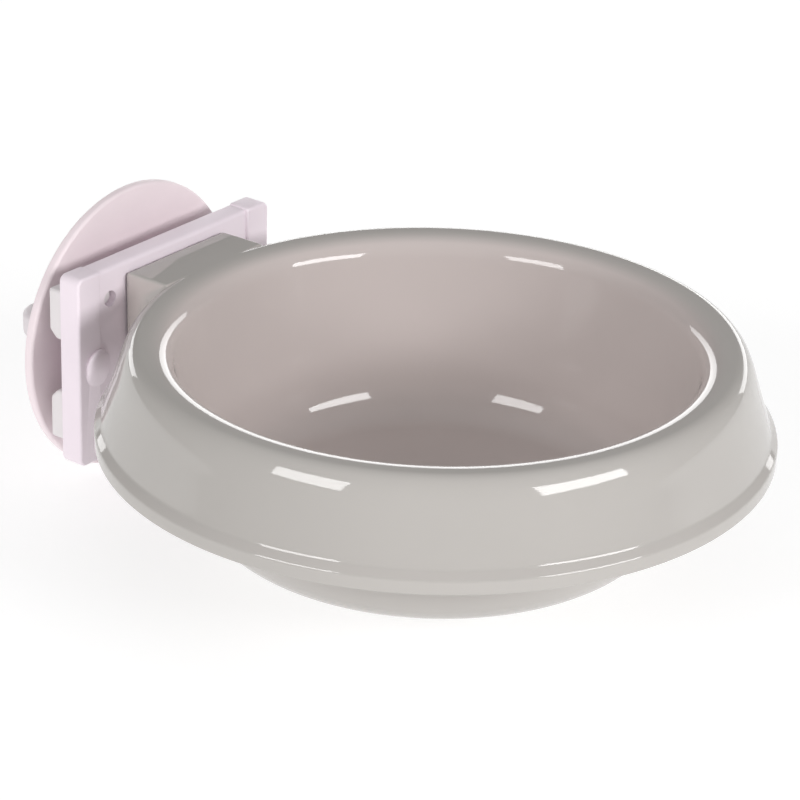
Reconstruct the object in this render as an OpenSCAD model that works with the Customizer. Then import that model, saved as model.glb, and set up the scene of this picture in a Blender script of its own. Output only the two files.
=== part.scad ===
// Hanging pet bowl. The bowl hooks onto a plate, and a screw clamp holds the plate on the wires of a crate.
// Millimetres. +Z is up, +Y points from the bowl to the clamp, and the origin is where the screw's axis
// meets the faces of the grip pads, which press on the wires.

/* [Bowl] */
// Diameter over the lip at the skirt's lower edge
lip_d = 160; // [150:1:180]
// Height of the lip's underside above the base
lip_z = 22.8; // [18:0.1:27]
// Height of the lip, from its underside to the skirt
lip_h = 5.2; // [4.4:0.1:6]
// Height of the upright band along the lip's edge
band_h = 3.3; // [2.5:0.1:4.2]
// Step of the lip out from the skirt
lip_step = 1.7; // [0.8:0.1:2]
// Height of the rim's crest above the base
rim_z = 46.9; // [45:0.1:56]
// Diameter of the rim's crest
crest_d = 138.4; // [132:0.2:140]
// Run from the crest out to the top of the skirt
shoulder_run = 6; // [4.5:0.1:7]
// Drop from the crest to the top of the skirt
shoulder_drop = 9.3; // [7:0.1:11]
// Length over which the skirt's lean carries on into the shoulder
shoulder_lead = 4.2; // [3:0.1:5]
// Length over which the crest stays level towards the shoulder
crest_out = 3.6; // [2.5:0.1:4.5]
// Length over which the crest stays level towards the cavity
crest_in = 3.2; // [2.6:0.1:6]
// Drop from the crest to the top of the cavity's straight wall
flare_drop = 5; // [4.6:0.1:9]
// Run from the crest in to the top of the cavity's straight wall
rim_run = 7.8; // [6:0.05:9]
// Length over which the wall's lean carries on into the rim
flare_lead = 4.8; // [3:0.1:6]
// Length over which the rim's underside keeps the lean of the skirt and of the wall
under_lead = 6; // [5:0.1:8]
// Lean of the cavity's wall from the upright, in degrees
draft = 11; // [8:0.5:16]
// Radius between the cavity's floor and the foot of its side
floor_round = 9.2; // [6:0.1:14]
// Radius between that foot and the cavity's straight wall
side_round = 19; // [14:0.5:24]
// Slope where the one radius passes into the other, in degrees
round_split = 61; // [50:1:68]
// Thickness of the moulded wall
wall = 2.4; // [1.8:0.1:3]

/* [Hook] */
// Width of the boss on the back of the bowl
boss_w = 35.4; // [32:0.2:40]
// Drop from the rim's crest to the boss's top
boss_drop = 0.3; // [0.2:0.1:3]
// Thickness of the boss's back and top
boss_wall = 3; // [2.4:0.1:4]
// Width of the tongue's head, which sits inside the boss
tongue_w = 26; // [25:0.2:27]
// Thickness of the tongue's head
tongue_t = 2.5; // [2:0.1:3.5]
// Material of the tongue below the screw's head
tongue_end = 2.5; // [1.5:0.1:6]
// Width of the neck that joins the tongue's head to the plate
neck_w = 20; // [18.5:0.2:22]
// Play between the boss and the tongue or the plate
hook_play = 0.4; // [0.3:0.05:0.8]

/* [Plate] */
// Width of the plate
plate_w = 69.6; // [64:0.2:80]
// Height of the plate at its side strips
plate_h = 49.5; // [46:0.1:54]
// Height of the plate's lower edge above the bowl's base
plate_z = 0.3; // [-4:0.1:4]
// Drop from the side strips' ends to the top of the plate's middle
web_drop = 0.4; // [0.2:0.1:1.5]
// Thickness of the plate at its side strips
plate_t = 6.5; // [5.5:0.1:9]
// Radius of the plate's corners
plate_corner = 2; // [1:0.5:6]
// Gap between the lip and the plate's front
lip_gap = 1.5; // [1:0.1:4]
// Width of the raised strip along each side of the plate
strip_w = 7.8; // [5:0.1:9]
// Height of the side strips over the middle of the plate
strip_t = 0.8; // [0.5:0.1:1.5]
// Width of the oval studs on the plate's front
stud_w = 8.2; // [5:0.1:9]
// Height of the oval studs
stud_h = 9.6; // [9:0.1:14]
// Distance of the studs' centres from the plate's sides
stud_inset = 6.4; // [5:0.1:8]
// Projection of the studs from the side strips
stud_t = 1.6; // [0.6:0.1:2]

/* [Grip pads] */
// Width of a pad
pad_w = 14; // [12.5:0.1:18]
// Height of a pad
pad_h = 13; // [12:0.1:16]
// Thickness of a pad
pad_t = 4.7; // [3:0.1:6]
// Bevel on the pads' edges that face the wire channel
pad_bevel = 2.2; // [1:0.1:2.8]
// Distance of the pads from the plate's sides
pad_side = 1.2; // [0.4:0.1:2]
// Distance of the pads from the plate's top and bottom
pad_edge = 5; // [2:0.1:6]
// Diameter of the peg that fixes a pad in the plate
peg_d = 4; // [3:0.1:6]
// Length of the peg
peg_l = 4; // [2:0.1:4.8]
// Distance of a peg's axis from its pad's inner side and far edge
peg_in = 3.4; // [3:0.1:8]

/* [Clamp] */
// Height of the screw's axis above the plate's lower edge
screw_rise = 23; // [21:0.1:26]
// Diameter of the clamp screw
screw_d = 8; // [6:0.5:8]
// Width across the flats of the screw's head and of the nut
hex_af = 13; // [11:0.5:13]
// Thickness of the screw's head
head_t = 5.3; // [4:0.1:5.6]
// Thickness of the nut
nut_t = 6.5; // [5:0.1:8]
// Diameter of the clamp disc
disc_d = 73.5; // [60:0.5:84]
// Thickness of the clamp disc
disc_t = 2.8; // [2.4:0.1:5]
// Radius of the clamp disc's edges
disc_round = 0.9; // [0.5:0.1:1.2]
// Gap between the pads and the disc as drawn
wire_gap = 3; // [2:0.1:4]
// Diameter of the wing nut's hub
hub_d = 22; // [20:0.2:26]
// Length of the wing nut's hub
hub_l = 19; // [18:0.2:26]
// Thickness of the hub's closed end
hub_cap = 2.4; // [1.5:0.1:4]
// Radius of the hub's outer edge
hub_round = 2.4; // [1:0.1:4]
// Distance between the tips of the wings
wing_span = 39; // [34:0.5:50]
// Thickness of the wings
wing_t = 7; // [5:0.1:10]
// Radius of the rounded wing tips
wing_tip = 6.5; // [5:0.1:7]
// How far the wing tips reach beyond the hub's end
wing_reach = 1.5; // [0:0.1:4]

/* [Clearances] */
// Clearance around the screw in the nut
thread_gap = 0.05; // [0.02:0.01:0.1]
// Clearance around the screw in the plate and the disc
bore_gap = 0.3; // [0.2:0.05:0.6]
// Clearance around the screw's head, the nut and the pegs in their seats
seat_gap = 0.05; // [0.02:0.01:0.1]
// Running gap between the disc and the wing nut
turn_gap = 0.1; // [0.05:0.05:0.2]
// Room left beyond the screw's end when the clamp is tight
end_gap = 1; // [0.5:0.1:2]

/* [Hidden] */

$fn = 72;
// Overlap that lets a cut pass cleanly through a face
eps = 1;
curve_steps = 16;
corner_steps = 8;

grey = [0.75, 0.73, 0.71];
lilac = [0.88, 0.83, 0.87];
rose = [0.88, 0.83, 0.84];
white = [0.92, 0.91, 0.90];
pale = [0.80, 0.78, 0.78];
steel = [0.66, 0.67, 0.69];

// Bowl outline, as radius from its axis and height above its base
lip_r = lip_d / 2;
crest_r = crest_d / 2;
skirt_r = lip_r - lip_step;
crest = [crest_r, rim_z];
shoulder = [crest_r + shoulder_run, rim_z - shoulder_drop];
groove = [skirt_r, lip_z + lip_h];
// Directions of the skirt and of the cavity's wall, both upwards, and the way out through that wall
skirt_lean = (shoulder - groove) / norm(shoulder - groove);
wall_lean = [sin(draft), cos(draft)];
wall_out = [cos(draft), -sin(draft)];
flare = [crest_r - rim_run, rim_z - flare_drop];
outer_flare = flare + wall * wall_out;
// Foot of the straight wall, where the rounds to the floor start, and the middles of those rounds
wall_foot_z = wall + floor_round * (1 - cos(round_split)) + side_round * (cos(round_split) - sin(draft));
wall_foot_r = flare[0] - (flare[1] - wall_foot_z) * tan(draft);
side_mid = [wall_foot_r, wall_foot_z] - side_round * wall_out;
floor_mid = side_mid + (side_round - floor_round) * [sin(round_split), -cos(round_split)];

// Hook, from the front to the back, as distance from the bowl's axis
plate_front = lip_r + lip_gap;
web_front = plate_front + strip_t;
plate_back = plate_front + plate_t;
plate_mid = plate_z + plate_h / 2;
plate_top = plate_z + plate_h;
boss_front = crest_r;
boss_back = web_front - hook_play;
boss_top = rim_z - boss_drop;
pocket_top = boss_top - boss_wall;
pocket_front = outer_flare[0] + wall;
pocket_back = boss_back - boss_wall;
pocket_w = tongue_w + 2 * hook_play;
slot_w = neck_w + 2 * hook_play;
tongue_back = pocket_back - hook_play;
tongue_front = tongue_back - tongue_t;

// Clamp, from the plate to the wing nut
screw_z = plate_z + screw_rise;
tongue_bottom = screw_z - hex_af / 2 - seat_gap - tongue_end;
pad_back = plate_back + pad_t;
disc_front = pad_back + wire_gap;
disc_back = disc_front + disc_t;
hub_front = disc_back + turn_gap;
hub_bore_l = hub_l - hub_cap;
screw_end = hub_front + hub_bore_l - wire_gap - end_gap;
// The wings start inside the hub
wing_root = hub_d / 2 - wing_tip;

// Points along a cubic curve from a to d
function curve(a, b, c, d, steps) = [
  for (i = [0:steps])
    let (t = i / steps, s = 1 - t)
      s * s * s * a + 3 * s * s * t * b + 3 * s * t * t * c + t * t * t * d
];

// Points along an arc about mid, between two angles
function arc(mid, r, from, to, steps) = [
  for (i = [0:steps])
    let (w = from + (to - from) * i / steps)
      mid + r * [cos(w), sin(w)]
];

// Outer side of the rim and the skirt, from the crest down to the lip
function skirt_outside() = concat(
  curve(crest, crest + [crest_out, 0], shoulder + shoulder_lead * skirt_lean, shoulder, curve_steps),
  [groove, [lip_r, lip_z + band_h], [lip_r, lip_z]]
);

// Inner side of the skirt and the rim's underside, from the lip to the outside of the cavity's wall
function skirt_inside() =
  let (inside = shoulder - [wall, 0])
    concat(
      [[skirt_r - wall, lip_z]],
      curve(
        inside, inside + under_lead * skirt_lean,
        outer_flare + under_lead * wall_lean, outer_flare, curve_steps
      )
    );

// Section of the bowl, from the middle of its floor round to the middle of its base
function bowl_section() = concat(
  [[0, wall]],
  arc(floor_mid, floor_round, -90, round_split - 90, corner_steps),
  arc(side_mid, side_round, round_split - 90, -draft, corner_steps),
  curve(flare, flare + flare_lead * wall_lean, crest - [crest_in, 0], crest, curve_steps),
  skirt_outside(),
  skirt_inside(),
  arc(side_mid, side_round + wall, -draft, round_split - 90, corner_steps),
  arc(floor_mid, floor_round + wall, round_split - 90, -90, corner_steps),
  [[0, 0]]
);

// Space inside the skirt, which the boss stays out of
function skirt_space() = concat(
  [[0, lip_z - eps], [skirt_r - wall, lip_z - eps]],
  skirt_inside(),
  [[0, outer_flare[1]]]
);

// Move from the centre of the bowl's base to the point that the part hangs from
module hung() {
  translate([0, -pad_back, -screw_z])
    children();
}

// Box between two corners
module box(from, to) {
  translate(from)
    cube(to - from);
}

// Flat shape in X and Z, drawn from one distance in Y to another
module along_y(from, to) {
  translate([0, to, 0])
    rotate([90, 0, 0])
      linear_extrude(to - from)
        children();
}

// Round shape about the screw's axis, with its height along +Y
module about_screw(y) {
  translate([0, y, screw_z])
    rotate([-90, 0, 0])
      children();
}

// Hexagonal bar with its flats upright and level
module hex_bar(af, length) {
  cylinder(d = af / cos(30), h = length, $fn = 6);
}

// Rectangle with round corners, centred on the origin
module round_rect(w, h, r) {
  square([w - 2 * r, h], center = true);
  square([w, h - 2 * r], center = true);
  for (x = [-1, 1], y = [-1, 1])
    translate([x * (w / 2 - r), y * (h / 2 - r)])
      circle(r);
}

// Bar with round ends between two points
module round_bar(a, b, r) {
  span = b - a;
  translate(a)
    rotate(atan2(span[1], span[0]))
      translate([0, -r])
        square([norm(span), 2 * r]);
  for (p = [a, b])
    translate(p)
      circle(r);
}

// Boss on the back of the bowl, outside the skirt
module boss() {
  difference() {
    box([-boss_w / 2, boss_front, lip_z], [boss_w / 2, boss_back, boss_top]);
    rotate_extrude()
      polygon(skirt_space());
  }
}

// Pocket for the tongue, open at the bottom, with a slot for its neck
module tongue_pocket() {
  bottom = lip_z - eps;
  box([-pocket_w / 2, pocket_front, bottom], [pocket_w / 2, pocket_back, pocket_top]);
  box([-slot_w / 2, pocket_front, bottom], [slot_w / 2, boss_back + eps, pocket_top]);
}

module bowl() {
  color(grey)
    hung()
      difference() {
        union() {
          rotate_extrude()
            polygon(bowl_section());
          boss();
        }
        tongue_pocket();
      }
}

// Tongue that carries the bowl, standing on the front of the plate
module tongue() {
  box([-tongue_w / 2, tongue_front, tongue_bottom], [tongue_w / 2, tongue_back, pocket_top]);
  box([-neck_w / 2, tongue_front, tongue_bottom], [neck_w / 2, web_front + eps, pocket_top]);
}

// Oval stud on a side strip
module stud(side) {
  reach = (stud_h - stud_w) / 2;
  along_y(plate_front - stud_t, plate_back - eps)
    translate([side * (plate_w / 2 - stud_inset), plate_mid])
      round_bar([0, -reach], [0, reach], stud_w / 2);
}

// Inner side of the pads, and their edge towards the plate's top or bottom, from the plate's middle
pad_inner = plate_w / 2 - pad_side - pad_w;
pad_far = plate_h / 2 - pad_edge;

// Place of a peg in X and Z, for a side and an end of the plate
function peg_at(side, end) = [side * (pad_inner + peg_in), plate_mid + end * (pad_far - peg_in)];

module holder_plate() {
  web_w = plate_w - 2 * strip_w;
  color(lilac)
    hung()
      difference() {
        union() {
          difference() {
            along_y(plate_front, plate_back)
              translate([0, plate_mid])
                round_rect(plate_w, plate_h, plate_corner);
            box([-web_w / 2, plate_front - eps, plate_z - eps], [web_w / 2, web_front, plate_top + eps]);
            box(
              [-web_w / 2, plate_front - eps, plate_top - web_drop],
              [web_w / 2, plate_back + eps, plate_top + eps]
            );
          }
          tongue();
          for (side = [-1, 1])
            stud(side);
        }
        about_screw(tongue_front - eps)
          hex_bar(hex_af + 2 * seat_gap, head_t + eps);
        about_screw(tongue_front)
          cylinder(d = screw_d + 2 * bore_gap, h = plate_back - tongue_front + eps);
        for (side = [-1, 1], end = [-1, 1])
          along_y(plate_front - eps, plate_back + eps)
            translate(peg_at(side, end))
              circle(d = peg_d + 2 * seat_gap);
      }
}

// Grip pad for a side and an end of the plate, with its peg
module pad(side, end) {
  near = pad_far - pad_h;
  outline = [
    [plate_back, near], [plate_back, pad_far], [pad_back, pad_far],
    [pad_back, near + pad_bevel], [pad_back - pad_bevel, near]
  ];
  color(white)
    hung() {
      translate([side < 0 ? -pad_inner - pad_w : pad_inner, 0, plate_mid])
        mirror([0, 0, end < 0 ? 1 : 0])
          rotate([90, 0, 90])
            linear_extrude(pad_w)
              polygon(outline);
      along_y(plate_back - peg_l, plate_back + eps)
        translate(peg_at(side, end))
          circle(d = peg_d);
    }
}

module clamp_screw() {
  color(steel)
    hung() {
      about_screw(tongue_front)
        hex_bar(hex_af, head_t);
      about_screw(tongue_front)
        cylinder(d = screw_d, h = screw_end - tongue_front);
    }
}

module clamp_disc() {
  disc_r = disc_d / 2;
  hole_r = screw_d / 2 + bore_gap;
  color(rose)
    hung()
      about_screw(disc_front)
        rotate_extrude()
          polygon(concat(
            [[hole_r, 0]],
            arc([disc_r - disc_round, disc_round], disc_round, -90, 0, corner_steps),
            arc([disc_r - disc_round, disc_t - disc_round], disc_round, 0, 90, corner_steps),
            [[hole_r, disc_t]]
          ));
}

// Two wings, as one flat shape in X and Y measured from the hub's front
module wings() {
  tip = [wing_span / 2 - wing_tip, hub_l + wing_reach - wing_tip];
  for (side = [-1, 1])
    round_bar([side * wing_root, hub_l / 2], [side * tip[0], tip[1]], wing_tip);
}

module wing_nut() {
  hub_r = hub_d / 2;
  color(pale)
    hung()
      difference() {
        union() {
          about_screw(hub_front)
            rotate_extrude()
              polygon(concat(
                [[0, 0], [hub_r, 0]],
                arc([hub_r - hub_round, hub_l - hub_round], hub_round, 0, 90, corner_steps),
                [[0, hub_l]]
              ));
          translate([0, hub_front, screw_z - wing_t / 2])
            linear_extrude(wing_t)
              wings();
        }
        about_screw(hub_front - eps)
          cylinder(d = screw_d + 2 * bore_gap, h = hub_bore_l + eps);
        about_screw(hub_front - eps)
          hex_bar(hex_af + 2 * seat_gap, nut_t + eps);
      }
}

module thread_nut() {
  color(steel)
    hung()
      difference() {
        about_screw(hub_front)
          hex_bar(hex_af, nut_t);
        about_screw(hub_front - eps)
          cylinder(d = screw_d + 2 * thread_gap, h = nut_t + 2 * eps);
      }
}

bowl();
holder_plate();
pad(-1, 1);  // pad_upper_left
pad(1, 1);  // pad_upper_right
pad(-1, -1);  // pad_lower_left
pad(1, -1);  // pad_lower_right
clamp_screw();
clamp_disc();
wing_nut();
thread_nut();
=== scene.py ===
"""Looks of the hanging pet bowl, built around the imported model.

+Z is up, and +Y points from the bowl to the clamp.

Shapes are drawn in millimetres from the centre of the bowl's base,
and then moved to the model's own origin.
"""

import math

import bmesh
import bpy
import numpy as np
from mathutils import Matrix, Vector


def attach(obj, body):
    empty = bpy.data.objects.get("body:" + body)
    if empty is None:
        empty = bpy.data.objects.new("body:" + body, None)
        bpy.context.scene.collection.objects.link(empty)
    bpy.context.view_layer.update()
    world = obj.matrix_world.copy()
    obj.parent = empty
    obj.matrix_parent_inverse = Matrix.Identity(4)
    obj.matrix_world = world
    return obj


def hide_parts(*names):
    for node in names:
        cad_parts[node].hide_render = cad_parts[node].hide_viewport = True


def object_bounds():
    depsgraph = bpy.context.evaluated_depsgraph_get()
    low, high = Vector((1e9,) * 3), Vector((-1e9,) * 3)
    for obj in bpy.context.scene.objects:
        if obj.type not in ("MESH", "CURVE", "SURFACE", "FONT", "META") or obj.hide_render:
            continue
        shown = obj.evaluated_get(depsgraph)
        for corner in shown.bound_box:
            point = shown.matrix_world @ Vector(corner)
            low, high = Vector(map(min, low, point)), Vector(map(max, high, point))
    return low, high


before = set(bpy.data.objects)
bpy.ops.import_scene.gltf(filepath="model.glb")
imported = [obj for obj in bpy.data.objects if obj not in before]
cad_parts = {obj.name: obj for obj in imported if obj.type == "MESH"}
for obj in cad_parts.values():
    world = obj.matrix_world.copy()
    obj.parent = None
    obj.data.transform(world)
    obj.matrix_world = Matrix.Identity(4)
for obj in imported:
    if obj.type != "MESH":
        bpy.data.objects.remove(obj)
cad_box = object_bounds()

MM = 0.001
# From the centre of the bowl's base to the point that the part hangs from
HUNG = np.array([0.0, -92.7, -23.3])

# Bowl section, as radius and height
WALL = 2.4
LIP_R, LIP_Z = 79.99, 22.8
LIP_H, BAND_H, LIP_STEP = 5.2, 3.3, 1.7
CREST = np.array([69.2, 46.9])
SHOULDER = CREST + [6.0, -9.3]
SKIRT_R = LIP_R - LIP_STEP
GROOVE = np.array([SKIRT_R, LIP_Z + LIP_H])
# How far the rim's curves follow the direction of each of their ends
SHOULDER_LEAD, CREST_OUT, CREST_IN, FLARE_LEAD, UNDER_LEAD = 4.2, 3.6, 3.2, 4.8, 6.0
FLARE = CREST - [7.8, 5.0]
DRAFT = math.radians(11)
FLOOR_ROUND, SIDE_ROUND, ROUND_SPLIT = 9.2, 19.0, 61.0
# Rounds of the lip in its groove, above its band and at its lower edge
GROOVE_ROUND, BAND_ROUND, LIP_ROUND = 2.4, 1.4, 0.45
# Room that the first and the last of these rounds need
GROOVE_REACH, LIP_REACH = 1.3, 0.5
# Rings of points on the flat floor and base
FLAT_RINGS = (6, 14, 22, 30, 38)
SHOULDER_ROWS = 60
# Degrees between two faces from which their edge is sharp
BOWL_SHARP = 38

# Hook and plate, as distance from the bowl's axis
BOSS_W, BOSS_FRONT, BOSS_BACK, BOSS_TOP = 35.4, 68.6, 81.9, 46.6
# Rounds of the boss's upright corners and of its top edge,
# its fillet at the skirt, and the run over which that ends
BOSS_CORNER, BOSS_EDGE, BOSS_FILLET, FILLET_FADE = 0.5, 0.7, 6.0, 5
# Bowl's columns, in degrees from the middle of the boss
SIDE_FROM, SIDE_TO, SIDE_STEP, BACK_STEP = 8.5, 17.5, 0.08, 0.7
PLAIN_FROM, PLAIN_COLUMNS = 17.4, 236
POCKET_W, POCKET_FRONT, POCKET_BACK, POCKET_TOP = 26.8, 66.16, 78.9, 43.6
SLOT_W = 20.8
PLATE_W, PLATE_FRONT, WEB_FRONT, PLATE_BACK = 69.6, 81.5, 82.3, 88.0
PLATE_LOW, PLATE_TOP, WEB_TOP = 0.3, 49.8, 49.4
PLATE_EDGE, WEB_EDGE, WEB_CORNER = 0.7, 1.2, 1.6
# Strip along each side of the plate, with the rounds of its outer and inner corners
STRIP_W, STRIP_OUTER, STRIP_INNER = 7.8, 2.0, 0.8
# The stud's peak lies towards the plate's outer edge and up
STUD_IN, STUD_R, STUD_REACH, STUD_T, STUD_LEAN = 6.4, 4.1, 0.7, 1.6, (1.8, 2.4)
# Share of the dome where its layers start, their number,
# and how far the stud ends before the plate's back
STUD_TIP, STUD_LAYERS, STUD_SHORT = 0.02, 14, 1
PLATE_MID = (PLATE_LOW + PLATE_TOP) / 2
TONGUE_W, TONGUE_FRONT, TONGUE_BACK, TONGUE_LOW = 26.0, 76.0, 78.5, 14.25
TONGUE_CORNER, TONGUE_EDGE = 1.0, 0.5
NECK_W = 20.0
# How far a piece runs into the one that it joins, and a cutter past what it cuts
LAP, OVERRUN = 2, 2

# Pads and clamp
PAD_W, PAD_H, PAD_T, PAD_BEVEL, PAD_EDGE = 14.0, 13.0, 4.7, 2.2, 0.9
PAD_IN, PAD_FAR = 19.6, 19.75
PEG_X, PEG_Z, PEG_D, PEG_L, PEG_EDGE, PEG_LAP, PEG_GAP = 23.0, 16.35, 4.0, 4.0, 0.5, 1.5, 0.05
SCREW_Z, SCREW_END = 23.3, 111.2
SCREW_D, HEX_AF, HEAD_T, PITCH = 8.0, 13.0, 5.3, 1.25
HOLE_R, HEX_SEAT = SCREW_D / 2 + 0.3, HEX_AF + 0.1
# Chamfer of the head: how far it starts inside the flats and ends past the corners, and its slope
HEAD_INSET, HEAD_PAST, HEAD_SLOPE = 0.15, 0.3, math.radians(28)
# How far the shaft starts inside the head, and the chamfer's cone ends behind it
HEAD_LAP = 1
# Thread: radius at its root, height, how steep its flanks and wide its root are,
# and radius and slope at the screw's end
THREAD_ROOT, THREAD_H, FLANK, ROOT_FLAT, END_R, END_SLOPE = 3.36, 0.62, 1.25, 0.1, 3.1, 0.9
DISC_R, DISC_FRONT, DISC_BACK, DISC_EDGE, HOLE_EDGE = 36.74, 95.7, 98.5, 0.9, 0.3
DISC_RINGS = (12, 20, 28, 33)
HUB_FRONT, HUB_L, HUB_R, HUB_BORE, HUB_ROUND, HUB_EDGE = 98.6, 19.0, 11.0, 16.6, 2.4, 0.5
# A wing runs from its root to its tip, as distance from the screw's axis and from the hub's front
WING_ROOT, WING_TIP = np.array([4.5, 9.5]), np.array([13.0, 14.0])
WING_R, WING_HALF_T, WING_EDGE, WING_FLOW = 6.49, 3.5, 1.7, 3.0
# Box around the wing nut, from the middle of its hub's front, and the grid in it
KNOB_LOW, KNOB_HIGH, KNOB_STEP = np.array([-20.6, -1, -12]), np.array([20.6, 22, 12]), 0.34
NUT_T = 6.5


# ---------------------------------------------------------------- meshes

def unit(v):
    """Vector of length one in the same direction."""
    return v / np.linalg.norm(v)


def curve(a, b, c, d, steps):
    """Points along a cubic curve, both ends included."""
    t = np.linspace(0, 1, steps + 1)[:, None]
    s = 1 - t
    return s**3 * a + 3 * s * s * t * b + 3 * s * t * t * c + t**3 * d


def arc(mid, r, start, end, steps):
    """Points along an arc between two angles in degrees, both ends included."""
    w = np.radians(np.linspace(start, end, steps + 1))
    return mid + r * np.stack([np.cos(w), np.sin(w)], 1)


def line(a, b, steps):
    """Points along a straight line, both ends included."""
    return np.linspace(a, b, steps + 1)


def rounded_path(points, radii, steps):
    """Points along a broken line whose inner corners are rounded."""
    points = np.asarray(points, float)
    path = [points[:1]]
    t = np.linspace(0, 1, steps + 1)[:, None]
    for before, corner, after, r in zip(points, points[1:], points[2:], radii):
        u, v = unit(before - corner), unit(after - corner)
        reach = r / math.tan(math.acos(u @ v) / 2)
        start, end = corner + reach * u, corner + reach * v
        path.append((1 - t) ** 2 * start + 2 * t * (1 - t) * corner + t**2 * end)
    return np.concatenate(path + [points[-1:]])


def new_object(name, points, faces):
    """Object from points in millimetres about the bowl's base."""
    mesh = bpy.data.meshes.new(name)
    mesh.from_pydata(((np.asarray(points, float) + HUNG) * MM).tolist(), [], faces)
    mesh.validate()
    obj = bpy.data.objects.new(name, mesh)
    bpy.context.scene.collection.objects.link(obj)
    return obj


def outward(obj):
    """Turns all faces of a closed mesh outwards."""
    bm = bmesh.new()
    bm.from_mesh(obj.data)
    bmesh.ops.recalc_face_normals(bm, faces=bm.faces)
    bm.to_mesh(obj.data)
    bm.free()
    return obj


def boolean(obj, other, operation):
    """Joins another object to this one or cuts it away, and removes the other."""
    cut = obj.modifiers.new("cut", "BOOLEAN")
    cut.operation, cut.solver, cut.object = operation, "EXACT", other
    mesh = bpy.data.meshes.new_from_object(obj.evaluated_get(bpy.context.evaluated_depsgraph_get()))
    obj.modifiers.remove(cut)
    old, obj.data = obj.data, mesh
    mesh.name = obj.name
    bpy.data.meshes.remove(old)
    bpy.data.objects.remove(other)
    return obj


def lathe(name, section, columns):
    """Closed shape turned about the screw's axis from (radius, height) points."""
    section = np.asarray(section, float)
    rows, angles = len(section), np.linspace(0, 2 * np.pi, columns, endpoint=False)
    points, index = [], np.zeros((rows, columns), int)
    on_axis = section[:, 0] < 1e-9
    for j, (r, h) in enumerate(section):
        if on_axis[j]:
            index[j] = len(points)
            points.append(about_screw(0.0, h, 0.0))
        else:
            index[j] = len(points) + np.arange(columns)
            points.extend(about_screw(r, h, w) for w in angles)
    faces = []
    for j in range(rows - 1 if on_axis[0] else rows):
        a, b = index[j], index[(j + 1) % rows]
        for i in range(columns):
            k = (i + 1) % columns
            ring = [a[i], a[k], b[k], b[i]]
            ring = [p for n, p in enumerate(ring) if p != ring[n - 1]]
            if len(ring) > 2:
                faces.append([int(p) for p in ring])
    return outward(new_object(name, points, faces))


def tube(rows, columns):
    """Faces of a closed solid from rows of points that each go round it."""
    faces = [list(range(columns)), list(range(columns * (rows - 1), columns * rows))]
    for near in range(0, columns * (rows - 1), columns):
        far = near + columns
        for i in range(columns):
            k = (i + 1) % columns
            faces.append([near + i, near + k, far + k, far + i])
    return faces


def about_screw(r, h, w):
    """Place of a turned point: height runs along +Y from the bowl's axis."""
    return (r * math.sin(w), h, SCREW_Z + r * math.cos(w))


def prism(name, corners, layers, steps=6):
    """Closed prism along Y.

    corners are (x, z, radius) in order, and layers (y, inset from the outline)."""
    corners = [np.array(c, float) for c in corners]
    rings = []
    for y, inset in layers:
        ring = []
        for n, (x, z, r) in enumerate(corners):
            before, after = corners[n - 1][:2], corners[(n + 1) % len(corners)][:2]
            u, v = unit(before - [x, z]), unit(after - [x, z])
            half, inward = math.acos(np.clip(u @ v, -1, 1)) / 2, unit(u + v)
            mid = np.array([x, z]) + inward * r / math.sin(half)
            na, nb = unit(-(inward - (inward @ u) * u)), unit(-(inward - (inward @ v) * v))
            a0 = math.atan2(na[1], na[0])
            turn = math.atan2(na[0] * nb[1] - na[1] * nb[0], na @ nb)
            for k in range(steps + 1):
                w = a0 + turn * k / steps
                p = mid + (r - inset) * np.array([math.cos(w), math.sin(w)])
                ring.append((p[0], y, p[1]))
        rings.append(ring)
    points = [p for ring in rings for p in ring]
    return outward(new_object(name, points, tube(len(rings), len(rings[0]))))


def rounded(y0, y1, r0, r1, steps=5):
    """Layers of a prism whose two ends have round edges."""
    turn = np.linspace(0, np.pi / 2, steps + 1)
    layers = [(y0, 0.0)]
    if r0 > 0:
        layers = [(y0 + r0 - r0 * math.cos(w), r0 - r0 * math.sin(w)) for w in turn]
    if r1 > 0:
        return layers + [(y1 - r1 + r1 * math.sin(w), r1 - r1 * math.cos(w)) for w in turn]
    return layers + [(y1, 0.0)]


def rectangle(x0, x1, z0, z1, *radii):
    """Corners of an upright rectangle, from the lower left round."""
    r = list(radii) * (4 // len(radii))
    return [(x0, z0, r[0]), (x1, z0, r[1]), (x1, z1, r[2]), (x0, z1, r[3])]


def hexagon(af):
    """Points of a hexagon about the screw's axis, as (x, z)."""
    r = af / math.sqrt(3)
    w = np.radians(np.arange(6) * 60)
    return [(r * math.cos(a), SCREW_Z + r * math.sin(a)) for a in w]


def bar(name, outline, y0, y1):
    """Plain bar along Y with this (x, z) outline, used as a cutter or a blank."""
    points = [(x, y, z) for y in (y0, y1) for x, z in outline]
    return outward(new_object(name, points, tube(2, len(outline))))


def circle(x, z, r, columns=48):
    """Points of a circle, as (x, z)."""
    w = np.linspace(0, 2 * np.pi, columns, endpoint=False)
    return [(x + r * math.cos(a), z + r * math.sin(a)) for a in w]


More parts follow.
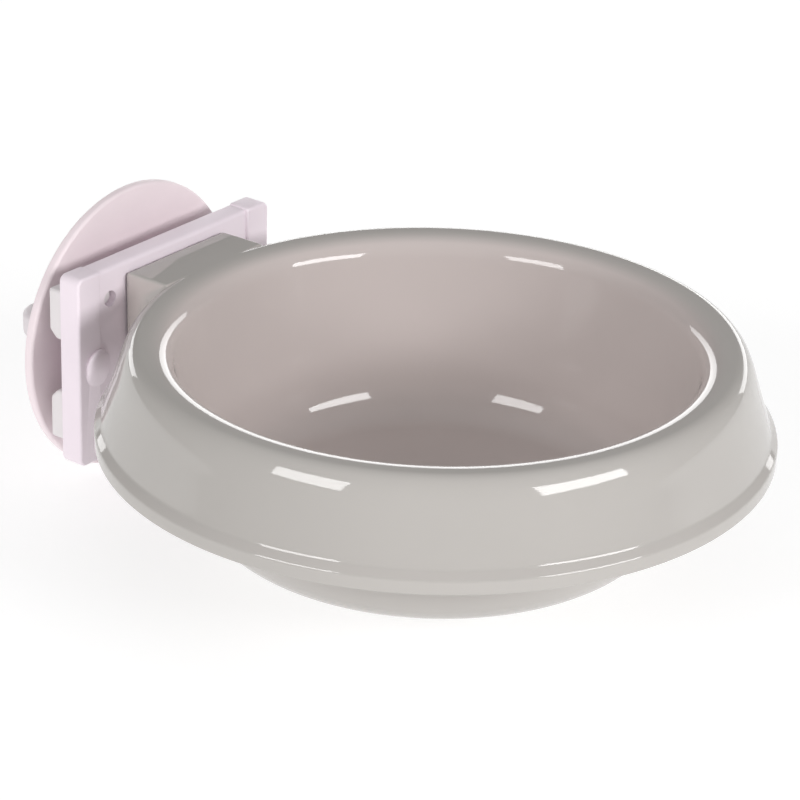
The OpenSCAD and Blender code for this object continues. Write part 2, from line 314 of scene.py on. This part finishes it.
def surface_net(name, field, low, high, step):
    """Closed mesh of a field's zero surface.

    Each grid cell that the surface crosses gets one point."""
    axes = [np.arange(a, b + step, step) for a, b in zip(low, high)]
    grid = np.stack(np.meshgrid(*axes, indexing="ij"), -1)
    value = field(grid)
    cells = tuple(n - 1 for n in value.shape)
    total, count, quads = np.zeros((*cells, 3)), np.zeros(cells), []
    for a in range(3):
        near = tuple(slice(None, -1) if k == a else slice(None) for k in range(3))
        far = tuple(slice(1, None) if k == a else slice(None) for k in range(3))
        v0, v1 = value[near], value[far]
        hit = np.argwhere((v0 < 0) != (v1 < 0))
        at = tuple(hit.T)
        point = grid[near][at].copy()
        point[:, a] += step * v0[at] / (v0[at] - v1[at])
        ring = []
        for db, dc in ((0, 0), (-1, 0), (-1, -1), (0, -1)):
            cell = hit.copy()
            cell[:, (a + 1) % 3] += db
            cell[:, (a + 2) % 3] += dc
            np.add.at(total, tuple(cell.T), point)
            np.add.at(count, tuple(cell.T), 1)
            ring.append(cell)
        ring = np.stack(ring, 1)
        inside = v0[at] < 0
        quads.append(np.where(inside[:, None, None], ring, ring[:, ::-1]))
    used = count > 0
    number = np.full(cells, -1)
    number[used] = np.arange(used.sum())
    points = total[used] / count[used][:, None]
    # The points then slide down the field's slope onto its surface
    h, rounds, least_slope = 0.02, 4, 0.2
    for _ in range(rounds):
        f = field(points)
        slope = np.stack(
            [(field(points + h * e) - field(points - h * e)) / (2 * h) for e in np.eye(3)], 1
        )
        points = points - (f / np.maximum((slope**2).sum(1), least_slope))[:, None] * slope
    quads = np.concatenate(quads)
    faces = number[quads[..., 0], quads[..., 1], quads[..., 2]]
    return new_object(name, points, faces.tolist())


def joined(a, b, k):
    """Union of two fields with a rounded inner corner of about k."""
    h = np.maximum(k - np.abs(a - b), 0) / np.maximum(k, 1e-6)
    return np.minimum(a, b) - h * h * k / 4


def met(a, b, r):
    """Where two fields overlap, with a rounded outer edge of radius r."""
    p, q = a + r, b + r
    return np.minimum(np.maximum(p, q), 0) + np.hypot(np.maximum(p, 0), np.maximum(q, 0)) - r


def finish_mesh(obj, angle=32):
    """Smooth shading with sharp edges kept where two faces meet at more than this angle."""
    obj.data.shade_smooth()
    obj.data.set_sharp_from_angle(angle=math.radians(angle))
    return obj


# ---------------------------------------------------------------- materials

def linear(*srgb):
    """Linear colour of 0 to 255 values as seen on a screen."""
    c = [v / 255 for v in srgb]
    return [v / 12.92 if v <= 0.04045 else ((v + 0.055) / 1.055) ** 2.4 for v in c] + [1.0]


def colour_socket(sockets, name):
    """The one of a mix node's sockets of this name that carries a colour."""
    return [s for s in sockets if s.name == name and s.type == "RGBA"][0]


def set_range(node, end, low, high):
    """Sets the From or To values of a map range node."""
    node.inputs[end + " Min"].default_value = low
    node.inputs[end + " Max"].default_value = high


# Part of a noise's range that a tone or gloss runs through,
# and metres over which the painted bounce light in a cavity fades out
CLOUD_FROM, CLOUD_TO, PAINTED_BOUNCE_FADE = 0.3, 0.7, 0.058
# Size of the gloss's clouds against the tone's
GLOSS_SHARE = 0.6


def material(
    name, tone, rough, fleck=0.03, fleck_size=0.012, grain=0.0004, relief=0.00001,
    metal=0.0, ior=1.5, painted_bounce=None,
):
    """Moulded or plated surface: slight cloudiness of its tone and gloss, and a fine relief.

    rough is the pair that the roughness varies between, and the sizes are in metres.
    painted_bounce is a tone painted as bounce light on the faces that look towards a point,
    with that point and the stretch along each axis that sets where the painted tone ends."""
    m = bpy.data.materials.new(name)
    m.use_nodes = True
    nodes, links = m.node_tree.nodes, m.node_tree.links
    shader = nodes["Principled BSDF"]
    shader.inputs["Metallic"].default_value = metal
    shader.inputs["IOR"].default_value = ior
    place = nodes.new("ShaderNodeTexCoord")

    def noise(size, detail):
        n = nodes.new("ShaderNodeTexNoise")
        n.inputs["Scale"].default_value = 1 / size
        n.inputs["Detail"].default_value = detail
        links.new(place.outputs["Object"], n.inputs["Vector"])
        return n.outputs["Fac"]

    def clouded(srgb):
        cloud = nodes.new("ShaderNodeValToRGB")
        base = linear(*srgb)
        for end, (spot, shift) in enumerate(((CLOUD_FROM, -fleck), (CLOUD_TO, fleck))):
            stop = cloud.color_ramp.elements[end]
            stop.position = spot
            stop.color = [min(max(v * (1 + shift), 0), 1) for v in base[:3]] + [1.0]
        links.new(noise(fleck_size, detail=4), cloud.inputs["Fac"])
        return cloud.outputs["Color"]

    if painted_bounce is None:
        links.new(clouded(tone), shader.inputs["Base Color"])
    else:
        # Painted bounce light: faces that look towards the given point get a lighter, pinker tone
        kinds = ("VectorMath", "VectorMath", "VectorMath", "MapRange", "Mix")
        away, wide, looks, side, blend = (nodes.new("ShaderNode" + kind) for kind in kinds)
        away.operation, wide.operation, looks.operation = "SUBTRACT", "MULTIPLY", "DOT_PRODUCT"
        blend.data_type = "RGBA"
        links.new(place.outputs["Object"], away.inputs[0])
        away.inputs[1].default_value = painted_bounce[1]
        links.new(away.outputs["Vector"], wide.inputs[0])
        wide.inputs[1].default_value = painted_bounce[2]
        links.new(wide.outputs["Vector"], looks.inputs[0])
        links.new(place.outputs["Normal"], looks.inputs[1])
        links.new(looks.outputs["Value"], side.inputs["Value"])
        set_range(side, "From", 0.0, PAINTED_BOUNCE_FADE)
        links.new(side.outputs["Result"], blend.inputs["Factor"])
        for slot, srgb in (("A", painted_bounce[0]), ("B", tone)):
            links.new(clouded(srgb), colour_socket(blend.inputs, slot))
        links.new(colour_socket(blend.outputs, "Result"), shader.inputs["Base Color"])

    gloss = nodes.new("ShaderNodeMapRange")
    set_range(gloss, "From", CLOUD_FROM, CLOUD_TO)
    set_range(gloss, "To", *rough)
    links.new(noise(fleck_size * GLOSS_SHARE, detail=3), gloss.inputs["Value"])
    links.new(gloss.outputs["Result"], shader.inputs["Roughness"])

    bump = nodes.new("ShaderNodeBump")
    bump.inputs["Strength"].default_value = 1.0
    bump.inputs["Distance"].default_value = relief
    links.new(noise(grain, detail=2), bump.inputs["Height"])
    links.new(bump.outputs["Normal"], shader.inputs["Normal"])
    return m


# The cavity is painted a little pinker and lighter than the outside as painted bounce light; the
# bowl itself is one colour
CAVITY_MIDDLE, CAVITY_STRETCH = tuple((np.array([0.0, 0.0, 30.0]) + HUNG) * MM), (1.0, 1.0, 3.4)
GREY = material(
    "bowl_grey", (179, 175, 171), (0.035, 0.06), fleck=0.012, fleck_size=0.03,
    grain=0.006, relief=0.000004, ior=1.45,
    painted_bounce=((199, 189, 186), CAVITY_MIDDLE, CAVITY_STRETCH),
)
SATIN = {"fleck": 0.015, "grain": 0.0009, "relief": 0.00003}
LILAC = material("plate_lilac", (239, 227, 235), (0.42, 0.52), **SATIN)
ROSE = material("disc_rose", (241, 227, 231), (0.42, 0.52), **SATIN)
WHITE = material(
    "pad_white", (226, 221, 222), (0.5, 0.6), fleck=0.012, grain=0.0012, relief=0.00003,
)
PALE = material("nut_pale", (219, 212, 215), (0.38, 0.48), **SATIN)
ZINC = material(
    "zinc_steel", (170, 172, 176), (0.22, 0.38), fleck=0.06, fleck_size=0.003,
    grain=0.0005, relief=0.00001, metal=1.0,
)


def dress(obj, look, slot, body, *nodes):
    """Gives a finished piece its material, its body and the CAD nodes that it stands for."""
    obj.data.materials.clear()
    obj.data.materials.append(look)
    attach(obj, body)
    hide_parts(*nodes)


# ---------------------------------------------------------------- bowl

wall_lean = np.array([math.sin(DRAFT), math.cos(DRAFT)])
wall_out = np.array([math.cos(DRAFT), -math.sin(DRAFT)])
skirt_lean = unit(SHOULDER - GROOVE)
outer_flare = FLARE + WALL * wall_out
split_out = np.array([math.sin(math.radians(ROUND_SPLIT)), -math.cos(math.radians(ROUND_SPLIT))])
foot_z = WALL + FLOOR_ROUND * (1 + split_out[1]) - SIDE_ROUND * (split_out[1] + math.sin(DRAFT))
wall_foot = np.array([FLARE[0] - (FLARE[1] - foot_z) * math.tan(DRAFT), foot_z])
side_mid = wall_foot - SIDE_ROUND * wall_out
floor_mid = side_mid + (SIDE_ROUND - FLOOR_ROUND) * split_out
skirt_inside = SHOULDER - [WALL, 0]

inner_rows = np.concatenate([
    [[r, WALL] for r in FLAT_RINGS],
    arc(floor_mid, FLOOR_ROUND, -90, ROUND_SPLIT - 90, 20),
    arc(side_mid, SIDE_ROUND, ROUND_SPLIT - 90, -math.degrees(DRAFT), 12)[1:],
    line(wall_foot, FLARE, 12)[1:],
    curve(FLARE, FLARE + FLARE_LEAD * wall_lean, CREST - [CREST_IN, 0], CREST, 44)[1:-1],
])
shoulder_rows = curve(
    CREST, CREST + [CREST_OUT, 0], SHOULDER + SHOULDER_LEAD * skirt_lean, SHOULDER, SHOULDER_ROWS
)
skirt_stop = GROOVE - GROOVE_REACH * unit(GROOVE - SHOULDER)
lip_stop = [LIP_R - LIP_REACH, LIP_Z]
skirt_rows = np.concatenate([
    line(SHOULDER, skirt_stop, 18)[1:],
    rounded_path(
        [skirt_stop, GROOVE, [LIP_R, LIP_Z + BAND_H], [LIP_R, LIP_Z], lip_stop],
        (GROOVE_ROUND, BAND_ROUND, LIP_ROUND), 8,
    )[1:-1],
])
under_rows = np.concatenate([
    line(lip_stop, [SKIRT_R - WALL, LIP_Z], 3)[1:],
    line([SKIRT_R - WALL, LIP_Z], skirt_inside, 10)[1:],
    curve(
        skirt_inside, skirt_inside + UNDER_LEAD * skirt_lean,
        outer_flare + UNDER_LEAD * wall_lean, outer_flare, 24,
    )[1:],
    line(outer_flare, wall_foot + WALL * wall_out, 10)[1:],
    arc(side_mid, SIDE_ROUND + WALL, -math.degrees(DRAFT), ROUND_SPLIT - 90, 12)[1:],
    arc(floor_mid, FLOOR_ROUND + WALL, ROUND_SPLIT - 90, -90, 20)[1:],
    [[r, 0] for r in FLAT_RINGS[::-1]],
])


def bowl_columns():
    """Angles of the bowl's columns.

    They are close together at the boss's sides, which run nearly along the radius."""
    side = np.arange(SIDE_FROM, SIDE_TO, SIDE_STEP)
    back = np.arange(-SIDE_FROM, SIDE_FROM, BACK_STEP)[1:]
    rest = np.linspace(SIDE_TO, 360 - SIDE_TO, PLAIN_COLUMNS)
    return np.radians(90 + np.concatenate([-side[::-1], back, side, rest]))


def boss_top(y):
    """Height of the boss's top, which falls from the crest to the plate."""
    share = np.clip((y - BOSS_FRONT) / (BOSS_BACK - BOSS_FRONT), 0, 1)
    return CREST[1] - (CREST[1] - BOSS_TOP) * share**2


def boss_field(x, y, z):
    """Distance to the boss, which has round upright corners and a round top edge."""
    middle, half = (BOSS_FRONT + BOSS_BACK) / 2, (BOSS_BACK - BOSS_FRONT) / 2
    plan = met(np.abs(x) - BOSS_W / 2, np.abs(y - middle) - half, BOSS_CORNER)
    return met(plan, z - boss_top(y), BOSS_EDGE)


def outer_surface(angles):
    """Radius and height of the points of the rim's outer side, the skirt and the boss.

    Both are [row, column] arrays. Each row starts on the plain skirt and goes out
    along its own direction to the skirt and boss together."""
    crest_lift, least_facing, farthest, halvings = 86, 0.5, 30.0, 46
    start = np.concatenate([shoulder_rows, skirt_rows])
    step = np.gradient(start, axis=0)
    normal = np.stack([-step[:, 1], step[:, 0]], 1)
    normal = -normal / np.linalg.norm(normal, axis=1)[:, None]
    share = np.linspace(0, 1, SHOULDER_ROWS + 1)
    lift = np.radians(np.concatenate([crest_lift * (1 - share), np.zeros(len(skirt_rows))]))
    way = np.stack([np.cos(lift), np.sin(lift)], 1)
    facing = np.maximum(np.abs((way * normal).sum(1)), least_facing)
    near = np.zeros((len(start), len(angles)))
    far = np.full_like(near, farthest)
    for _ in range(halvings):
        t = (near + far) / 2
        r, z = start[:, :1] + t * way[:, :1], start[:, 1:] + t * way[:, 1:]
        x, y = r * np.cos(angles), r * np.sin(angles)
        below, ahead = (boss_top(y) - z) / FILLET_FADE, (BOSS_BACK - y) / FILLET_FADE
        blend = BOSS_FILLET * np.clip(below, 0, 1) * np.clip(ahead, 0, 1)
        inside = joined(t * facing[:, None], boss_field(x, y, z), blend) < 0
        near, far = np.where(inside, t, near), np.where(inside, far, t)
    plain = np.abs(np.degrees(angles) - 90) > PLAIN_FROM
    t = np.where(plain, 0.0, near)
    return start[:, :1] + t * way[:, :1], start[:, 1:] + t * way[:, 1:]


def make_bowl():
    """One closed skin with the hook's pocket.

    It runs from the middle of the floor over the rim to the middle of the base."""
    angles = bowl_columns()
    columns = len(angles)
    r, z = outer_surface(angles)
    plain = [np.repeat(rows[:, :1], columns, 1) for rows in (inner_rows, under_rows)]
    level = [np.repeat(rows[:, 1:], columns, 1) for rows in (inner_rows, under_rows)]
    r, z = np.concatenate([plain[0], r, plain[1]]), np.concatenate([level[0], z, level[1]])
    grid = np.stack([r * np.cos(angles), r * np.sin(angles), z], -1)
    rows = len(grid)
    points = grid.reshape(-1, 3).tolist() + [[0, 0, WALL], [0, 0, 0]]
    top, bottom = rows * columns, rows * columns + 1
    # The faces are listed so that they look outwards
    faces = []
    for i in range(columns):
        k = (i + 1) % columns
        faces.append([top, i, k])
        faces.append([bottom, (rows - 1) * columns + k, (rows - 1) * columns + i])
        for j in range(rows - 1):
            near, far = j * columns, (j + 1) * columns
            faces.append([near + i, far + i, far + k, near + k])
    bowl = new_object("bowl_shell", points, faces)
    a, b = POCKET_W / 2, SLOT_W / 2
    outline = [
        (-a, POCKET_FRONT), (a, POCKET_FRONT), (a, POCKET_BACK), (b, POCKET_BACK),
        (b, BOSS_BACK + OVERRUN), (-b, BOSS_BACK + OVERRUN), (-b, POCKET_BACK), (-a, POCKET_BACK),
    ]
    pocket = [(x, y, h) for h in (LIP_Z - OVERRUN, POCKET_TOP) for x, y in outline]
    boolean(bowl, outward(new_object("pocket", pocket, tube(2, len(outline)))), "DIFFERENCE")
    dress(finish_mesh(bowl, BOWL_SHARP), GREY, "bowl_grey", "bowl", "bowl")


# ---------------------------------------------------------------- plate and pads

def make_plate():
    """Web with a strip and a stud at each side, the tongue for the boss, and the holes."""
    inner = PLATE_W / 2 - STRIP_W
    plate = prism(
        "plate_body", rectangle(-inner - LAP, inner + LAP, PLATE_LOW, WEB_TOP, WEB_CORNER),
        rounded(WEB_FRONT, PLATE_BACK, WEB_EDGE, PLATE_EDGE),
    )
    for side in (-1, 1):
        low, high = sorted((side * inner, side * PLATE_W / 2))
        near, far = (STRIP_OUTER, STRIP_INNER)[::-side]
        strip = prism(
            "strip", rectangle(low, high, PLATE_LOW, PLATE_TOP, near, far, far, near),
            rounded(PLATE_FRONT, PLATE_BACK, PLATE_EDGE, PLATE_EDGE),
        )
        boolean(plate, strip, "UNION")
        middle = side * (PLATE_W / 2 - STUD_IN)
        low, high = PLATE_MID - STUD_R - STUD_REACH, PLATE_MID + STUD_R + STUD_REACH
        shares = np.linspace(STUD_TIP, 1, STUD_LAYERS)
        layers = [(PLATE_FRONT - STUD_T * (1 - s * s), STUD_R * (1 - s)) for s in shares]
        layers.append((PLATE_BACK - STUD_SHORT, 0.0))
        stud = prism(
            "stud", rectangle(middle - STUD_R, middle + STUD_R, low, high, STUD_R),
            layers, steps=14,
        )
        for v in stud.data.vertices:
            share = max(PLATE_FRONT + HUNG[1] - v.co.y / MM, 0) / STUD_T
            v.co.x += side * STUD_LEAN[0] * share * MM
            v.co.z += STUD_LEAN[1] * share * MM
        boolean(plate, stud, "UNION")
    for width, back in ((TONGUE_W, TONGUE_BACK), (NECK_W, WEB_FRONT + LAP)):
        tongue = prism(
            "tongue", rectangle(-width / 2, width / 2, TONGUE_LOW, POCKET_TOP, TONGUE_CORNER),
            rounded(TONGUE_FRONT, back, TONGUE_EDGE, 0.0),
        )
        boolean(plate, tongue, "UNION")
    seat = bar("seat", hexagon(HEX_SEAT), TONGUE_FRONT - OVERRUN, TONGUE_FRONT + HEAD_T)
    boolean(plate, seat, "DIFFERENCE")
    bore = bar("bore", circle(0, SCREW_Z, HOLE_R), TONGUE_FRONT, PLATE_BACK + OVERRUN)
    boolean(plate, bore, "DIFFERENCE")
    for side in (-1, 1):
        for end in (-1, 1):
            ring = circle(side * PEG_X, PLATE_MID + end * PEG_Z, PEG_D / 2 + PEG_GAP)
            hole = bar("hole", ring, PLATE_FRONT - OVERRUN, PLATE_BACK + OVERRUN)
            boolean(plate, hole, "DIFFERENCE")
    dress(finish_mesh(plate), LILAC, "plate_lilac", "holder", "holder_plate")


def make_pad(name, side, end):
    """Grip pad with a sloping edge towards the wire channel and a peg into the plate."""
    near = PAD_FAR - PAD_H
    back = PLATE_BACK + PAD_T
    outline = [
        (PLATE_BACK, near), (PLATE_BACK, PAD_FAR), (back, PAD_FAR),
        (back, near + PAD_BEVEL), (back - PAD_BEVEL, near),
    ]
    sides = (PAD_IN, PAD_IN + PAD_W)
    points = [(side * x, y, PLATE_MID + end * z) for x in sides for y, z in outline]
    pad = outward(new_object(name + "_body", points, tube(2, len(outline))))
    bm = bmesh.new()
    bm.from_mesh(pad.data)
    bmesh.ops.bevel(
        bm, geom=list(bm.edges), offset=PAD_EDGE * MM, segments=5, profile=0.5, affect="EDGES",
        clamp_overlap=True,
    )
    bm.to_mesh(pad.data)
    bm.free()
    x, z, r = side * PEG_X, PLATE_MID + end * PEG_Z, PEG_D / 2
    peg = prism(
        "peg", rectangle(x - r, x + r, z - r, z + r, r),
        rounded(PLATE_BACK - PEG_L, PLATE_BACK + PEG_LAP, PEG_EDGE, 0.0), steps=10,
    )
    boolean(pad, peg, "UNION")
    dress(finish_mesh(pad), WHITE, "pad_white", "holder", name)


# ---------------------------------------------------------------- clamp

def make_disc():
    """Flat disc with a round rim and a bevelled hole for the screw."""
    rim, hole_rim = DISC_R - DISC_EDGE, HOLE_R + HOLE_EDGE
    section = [[hole_rim, DISC_FRONT]]
    section += [[r, DISC_FRONT] for r in DISC_RINGS]
    section += arc(np.array([rim, DISC_FRONT + DISC_EDGE]), DISC_EDGE, -90, 0, 8).tolist()
    section += arc(np.array([rim, DISC_BACK - DISC_EDGE]), DISC_EDGE, 0, 90, 8).tolist()
    section += [[r, DISC_BACK] for r in DISC_RINGS[::-1]]
    section += [[hole_rim, DISC_BACK]]
    section += [[HOLE_R, DISC_BACK - HOLE_EDGE], [HOLE_R, DISC_FRONT + HOLE_EDGE]]
    disc = lathe("disc_plate", section, 180)
    dress(finish_mesh(disc), ROSE, "disc_rose", "disc", "clamp_disc")


def make_screw():
    """Hexagon bolt: a chamfered head and a shaft with a right-hand thread."""
    head = bar("bolt", hexagon(HEX_AF), TONGUE_FRONT, TONGUE_FRONT + HEAD_T)
    corner, flat = HEX_AF / math.sqrt(3) + HEAD_PAST, HEX_AF / 2 - HEAD_INSET
    drop = (corner - flat) * math.tan(HEAD_SLOPE)
    cone = [
        [0, TONGUE_FRONT], [flat, TONGUE_FRONT], [corner, TONGUE_FRONT + drop],
        [corner, TONGUE_FRONT + HEAD_T + HEAD_LAP], [0, TONGUE_FRONT + HEAD_T + HEAD_LAP],
    ]
    boolean(head, lathe("cone", cone, 96), "INTERSECT")
    columns, per_turn, least_step = 48, 12, 0.02
    start, end = TONGUE_FRONT + HEAD_T - HEAD_LAP, SCREW_END
    y = np.arange(start, end, PITCH / per_turn)
    y = np.append(y[y < end - least_step], end)
    w = np.linspace(0, 2 * np.pi, columns, endpoint=False)
    phase = (y[:, None] / PITCH - w / (2 * np.pi)) % 1
    ridge = np.clip(FLANK * (1 - np.abs(2 * phase - 1)) - ROOT_FLAT, 0, 1)
    r = THREAD_ROOT + THREAD_H * ridge
    r = np.minimum(r, END_R + np.clip(end - y, 0, 1)[:, None] * END_SLOPE)
    across, up = r * np.sin(w), SCREW_Z + r * np.cos(w)
    points = np.stack([across, np.repeat(y[:, None], columns, 1), up], -1).reshape(-1, 3)
    shaft = outward(new_object("shaft", points, tube(len(y), columns)))
    boolean(head, shaft, "UNION")
    dress(finish_mesh(head), ZINC, "zinc_steel", "holder", "clamp_screw")


def wing_field(p):
    """Hub with a round end and two wings that flow into it. Y runs from the hub's front."""
    x, y, z = np.abs(p[..., 0]), p[..., 1] - HUB_FRONT, p[..., 2] - SCREW_Z
    hub = met(met(np.hypot(x, z) - HUB_R, y - HUB_L, HUB_ROUND), -y, HUB_EDGE)
    run, dx, dy = WING_TIP - WING_ROOT, x - WING_ROOT[0], y - WING_ROOT[1]
    along = np.clip((dx * run[0] + dy * run[1]) / (run @ run), 0, 1)
    flat = np.hypot(dx - along * run[0], dy - along * run[1]) - WING_R
    wing = met(flat, np.abs(z) - WING_HALF_T, WING_EDGE)
    return joined(hub, wing, WING_FLOW)


def make_wing_nut():
    """Knob with a blind bore for the screw and a seat for the thread nut."""
    middle = np.array([0, HUB_FRONT, SCREW_Z])
    nut = surface_net("wing_knob", wing_field, middle + KNOB_LOW, middle + KNOB_HIGH, KNOB_STEP)
    bore = bar("bore", circle(0, SCREW_Z, HOLE_R), HUB_FRONT - OVERRUN, HUB_FRONT + HUB_BORE)
    boolean(nut, bore, "DIFFERENCE")
    seat = bar("seat", hexagon(HEX_SEAT), HUB_FRONT - OVERRUN, HUB_FRONT + NUT_T)
    boolean(nut, seat, "DIFFERENCE")
    dress(finish_mesh(nut), PALE, "nut_pale", "wing_nut", "wing_nut")


make_bowl()
make_plate()
for across, side in (("left", -1), ("right", 1)):
    for upright, end in (("upper", 1), ("lower", -1)):
        make_pad(f"pad_{upright}_{across}", side, end)
make_disc()
make_screw()
make_wing_nut()
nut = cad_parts["thread_nut"]
nut.data.materials.clear()
nut.data.materials.append(ZINC)


# ---------------------------------------------------------------- stage

# The photograph's camera, in a frame that stands under the bowl with Y away from the camera
TILT, ROLL, TURN = math.radians(25.01), math.radians(1.5), math.radians(142.2)
FOCAL_PX, FRAME_PX, FAR, SENSOR = 3437.13, 800, 800.0, 36.0
AIM, AIM_PX = np.array([0.0, 0.0, 40.0]), (437.76, 361.56)
# Height of the bowl's base in that frame, and the point that the lights face
BASE_Z, LIGHT_AIM = -1.6, np.array([0, 0, 35.0])
RIGHT_GLOW, LEFT_GLOW, RIM_GLOW, FLOOR_GLOW = 41.0, 33.0, 10.0, 0.62
# Low band, wall and ceiling
FRONT_GLOW, BACK_GLOW = (0.25, 0.25, 0.5), (0.25, 0.2, 0.5)
LIGHT_TONE = (1.0, 1.0, 1.0)
OBJECT_X = np.array([math.sin(TURN), -math.cos(TURN), 0.0])
OBJECT_Y = np.array([math.cos(TURN), math.sin(TURN), 0.0])


def turned(v):
    """Direction of the camera's frame in the model's frame."""
    return Vector((float(v @ OBJECT_X), float(v @ OBJECT_Y), float(v[2])))


def placed(p):
    """Point of the camera's frame in the model's frame, in metres."""
    return (turned(p) + Vector((0.0, HUNG[1], HUNG[2] - BASE_Z))) * MM


def make_camera():
    """Camera that sees the part as the photograph does."""
    ahead = np.array([0, math.cos(TILT), -math.sin(TILT)])
    level = np.array([1.0, 0, 0])
    above = np.cross(level, ahead)
    right = math.cos(ROLL) * level + math.sin(ROLL) * above
    up = math.cos(ROLL) * above - math.sin(ROLL) * level
    off = [(AIM_PX[n] - FRAME_PX / 2) / FOCAL_PX * FAR for n in (0, 1)]
    spot = AIM - off[0] * right + off[1] * up - FAR * ahead
    data = bpy.data.cameras.new("camera")
    data.sensor_fit, data.sensor_width = "HORIZONTAL", SENSOR
    data.lens = SENSOR * FOCAL_PX / FRAME_PX
    data.clip_start, data.clip_end = 0.01, 50.0
    camera = bpy.data.objects.new("camera", data)
    bpy.context.scene.collection.objects.link(camera)
    axes = Matrix((turned(right), turned(up), turned(-ahead))).transposed().to_4x4()
    camera.matrix_world = Matrix.Translation(placed(spot)) @ axes
    bpy.context.scene.camera = camera


def make_softbox(name, azimuth, elevation, brightness, distance=1500.0):
    """Area light seen from the bowl between two azimuths and two elevations.

    The azimuths are in degrees from the camera's side."""
    az, el = np.radians(np.mean(azimuth)), np.radians(np.mean(elevation))
    toward = np.array([math.sin(az) * math.cos(el), -math.cos(az) * math.cos(el), math.sin(el)])
    data = bpy.data.lights.new(name, "AREA")
    data.shape = "RECTANGLE"
    data.size = 2 * distance * MM * math.tan(np.radians(azimuth[1] - azimuth[0]) / 2)
    data.size_y = 2 * distance * MM * math.tan(np.radians(elevation[1] - elevation[0]) / 2)
    data.energy = brightness * data.size * data.size_y
    data.color = LIGHT_TONE
    light = bpy.data.objects.new(name, data)
    bpy.context.scene.collection.objects.link(light)
    light.location = placed(LIGHT_AIM + distance * toward)
    light.rotation_euler = turned(-toward).to_track_quat("-Z", "Y").to_euler()


def make_world():
    """Studio around the part: a low band, walls and a ceiling, with front and back tones."""
    side_fade = 0.3
    # Height of a direction, and the band whose tone it has
    spots = ((0.26, 0), (0.33, 1), (0.65, 1), (0.9, 2))
    world = bpy.data.worlds.new("studio")
    bpy.context.scene.world = world
    world.use_nodes = True
    nodes, links = world.node_tree.nodes, world.node_tree.links
    kinds = ("TexCoord", "SeparateXYZ", "VectorMath", "MapRange", "Mix")
    way, part, facing, side, blend = (nodes.new("ShaderNode" + kind) for kind in kinds)
    links.new(way.outputs["Generated"], part.inputs["Vector"])
    links.new(way.outputs["Generated"], facing.inputs[0])
    facing.operation = "DOT_PRODUCT"
    facing.inputs[1].default_value = turned(np.array([0.0, -1.0, 0.0]))
    set_range(side, "From", -side_fade, side_fade)
    links.new(facing.outputs["Value"], side.inputs["Value"])
    blend.data_type = "RGBA"
    links.new(side.outputs["Result"], blend.inputs["Factor"])
    for slot, glows in (("A", BACK_GLOW), ("B", FRONT_GLOW)):
        ramp = nodes.new("ShaderNodeValToRGB")
        links.new(part.outputs["Z"], ramp.inputs["Fac"])
        stops = ramp.color_ramp.elements
        for n, (spot, band) in enumerate(spots):
            stop = stops[n] if n < 2 else stops.new(spot)
            stop.position, stop.color = spot, [glows[band] * t for t in LIGHT_TONE] + [1.0]
        links.new(ramp.outputs["Color"], colour_socket(blend.inputs, slot))
    links.new(colour_socket(blend.outputs, "Result"), nodes["Background"].inputs["Color"])


def make_floor():
    """White floor just under the part, which glows a little."""
    half, gap = 4.0, 0.0002
    low = float(cad_box[0][2]) - gap
    mesh = bpy.data.meshes.new("floor")
    corners = ((-1, -1), (1, -1), (1, 1), (-1, 1))
    mesh.from_pydata([(x * half, y * half, low) for x, y in corners], [], [(0, 1, 2, 3)])
    floor = bpy.data.objects.new("floor", mesh)
    bpy.context.scene.collection.objects.link(floor)
    look = material(
        "floor_white", (190, 190, 190), (0.7, 0.8), fleck=0.004, fleck_size=0.2, relief=0.00001,
    )
    shader = look.node_tree.nodes["Principled BSDF"]
    shader.inputs["Emission Color"].default_value = (1.0, 1.0, 1.0, 1.0)
    shader.inputs["Emission Strength"].default_value = FLOOR_GLOW
    mesh.materials.append(look)


make_camera()
make_softbox("softbox_right", (36, 67.6), (13.5, 28.5), RIGHT_GLOW)
make_softbox("softbox_left", (-56.7, -31.9), (14.5, 31), LEFT_GLOW)
make_softbox("softbox_back", (135, 225), (1, 16), RIM_GLOW)
make_world()
make_floor()
bpy.context.scene.view_settings.view_transform = "Standard"
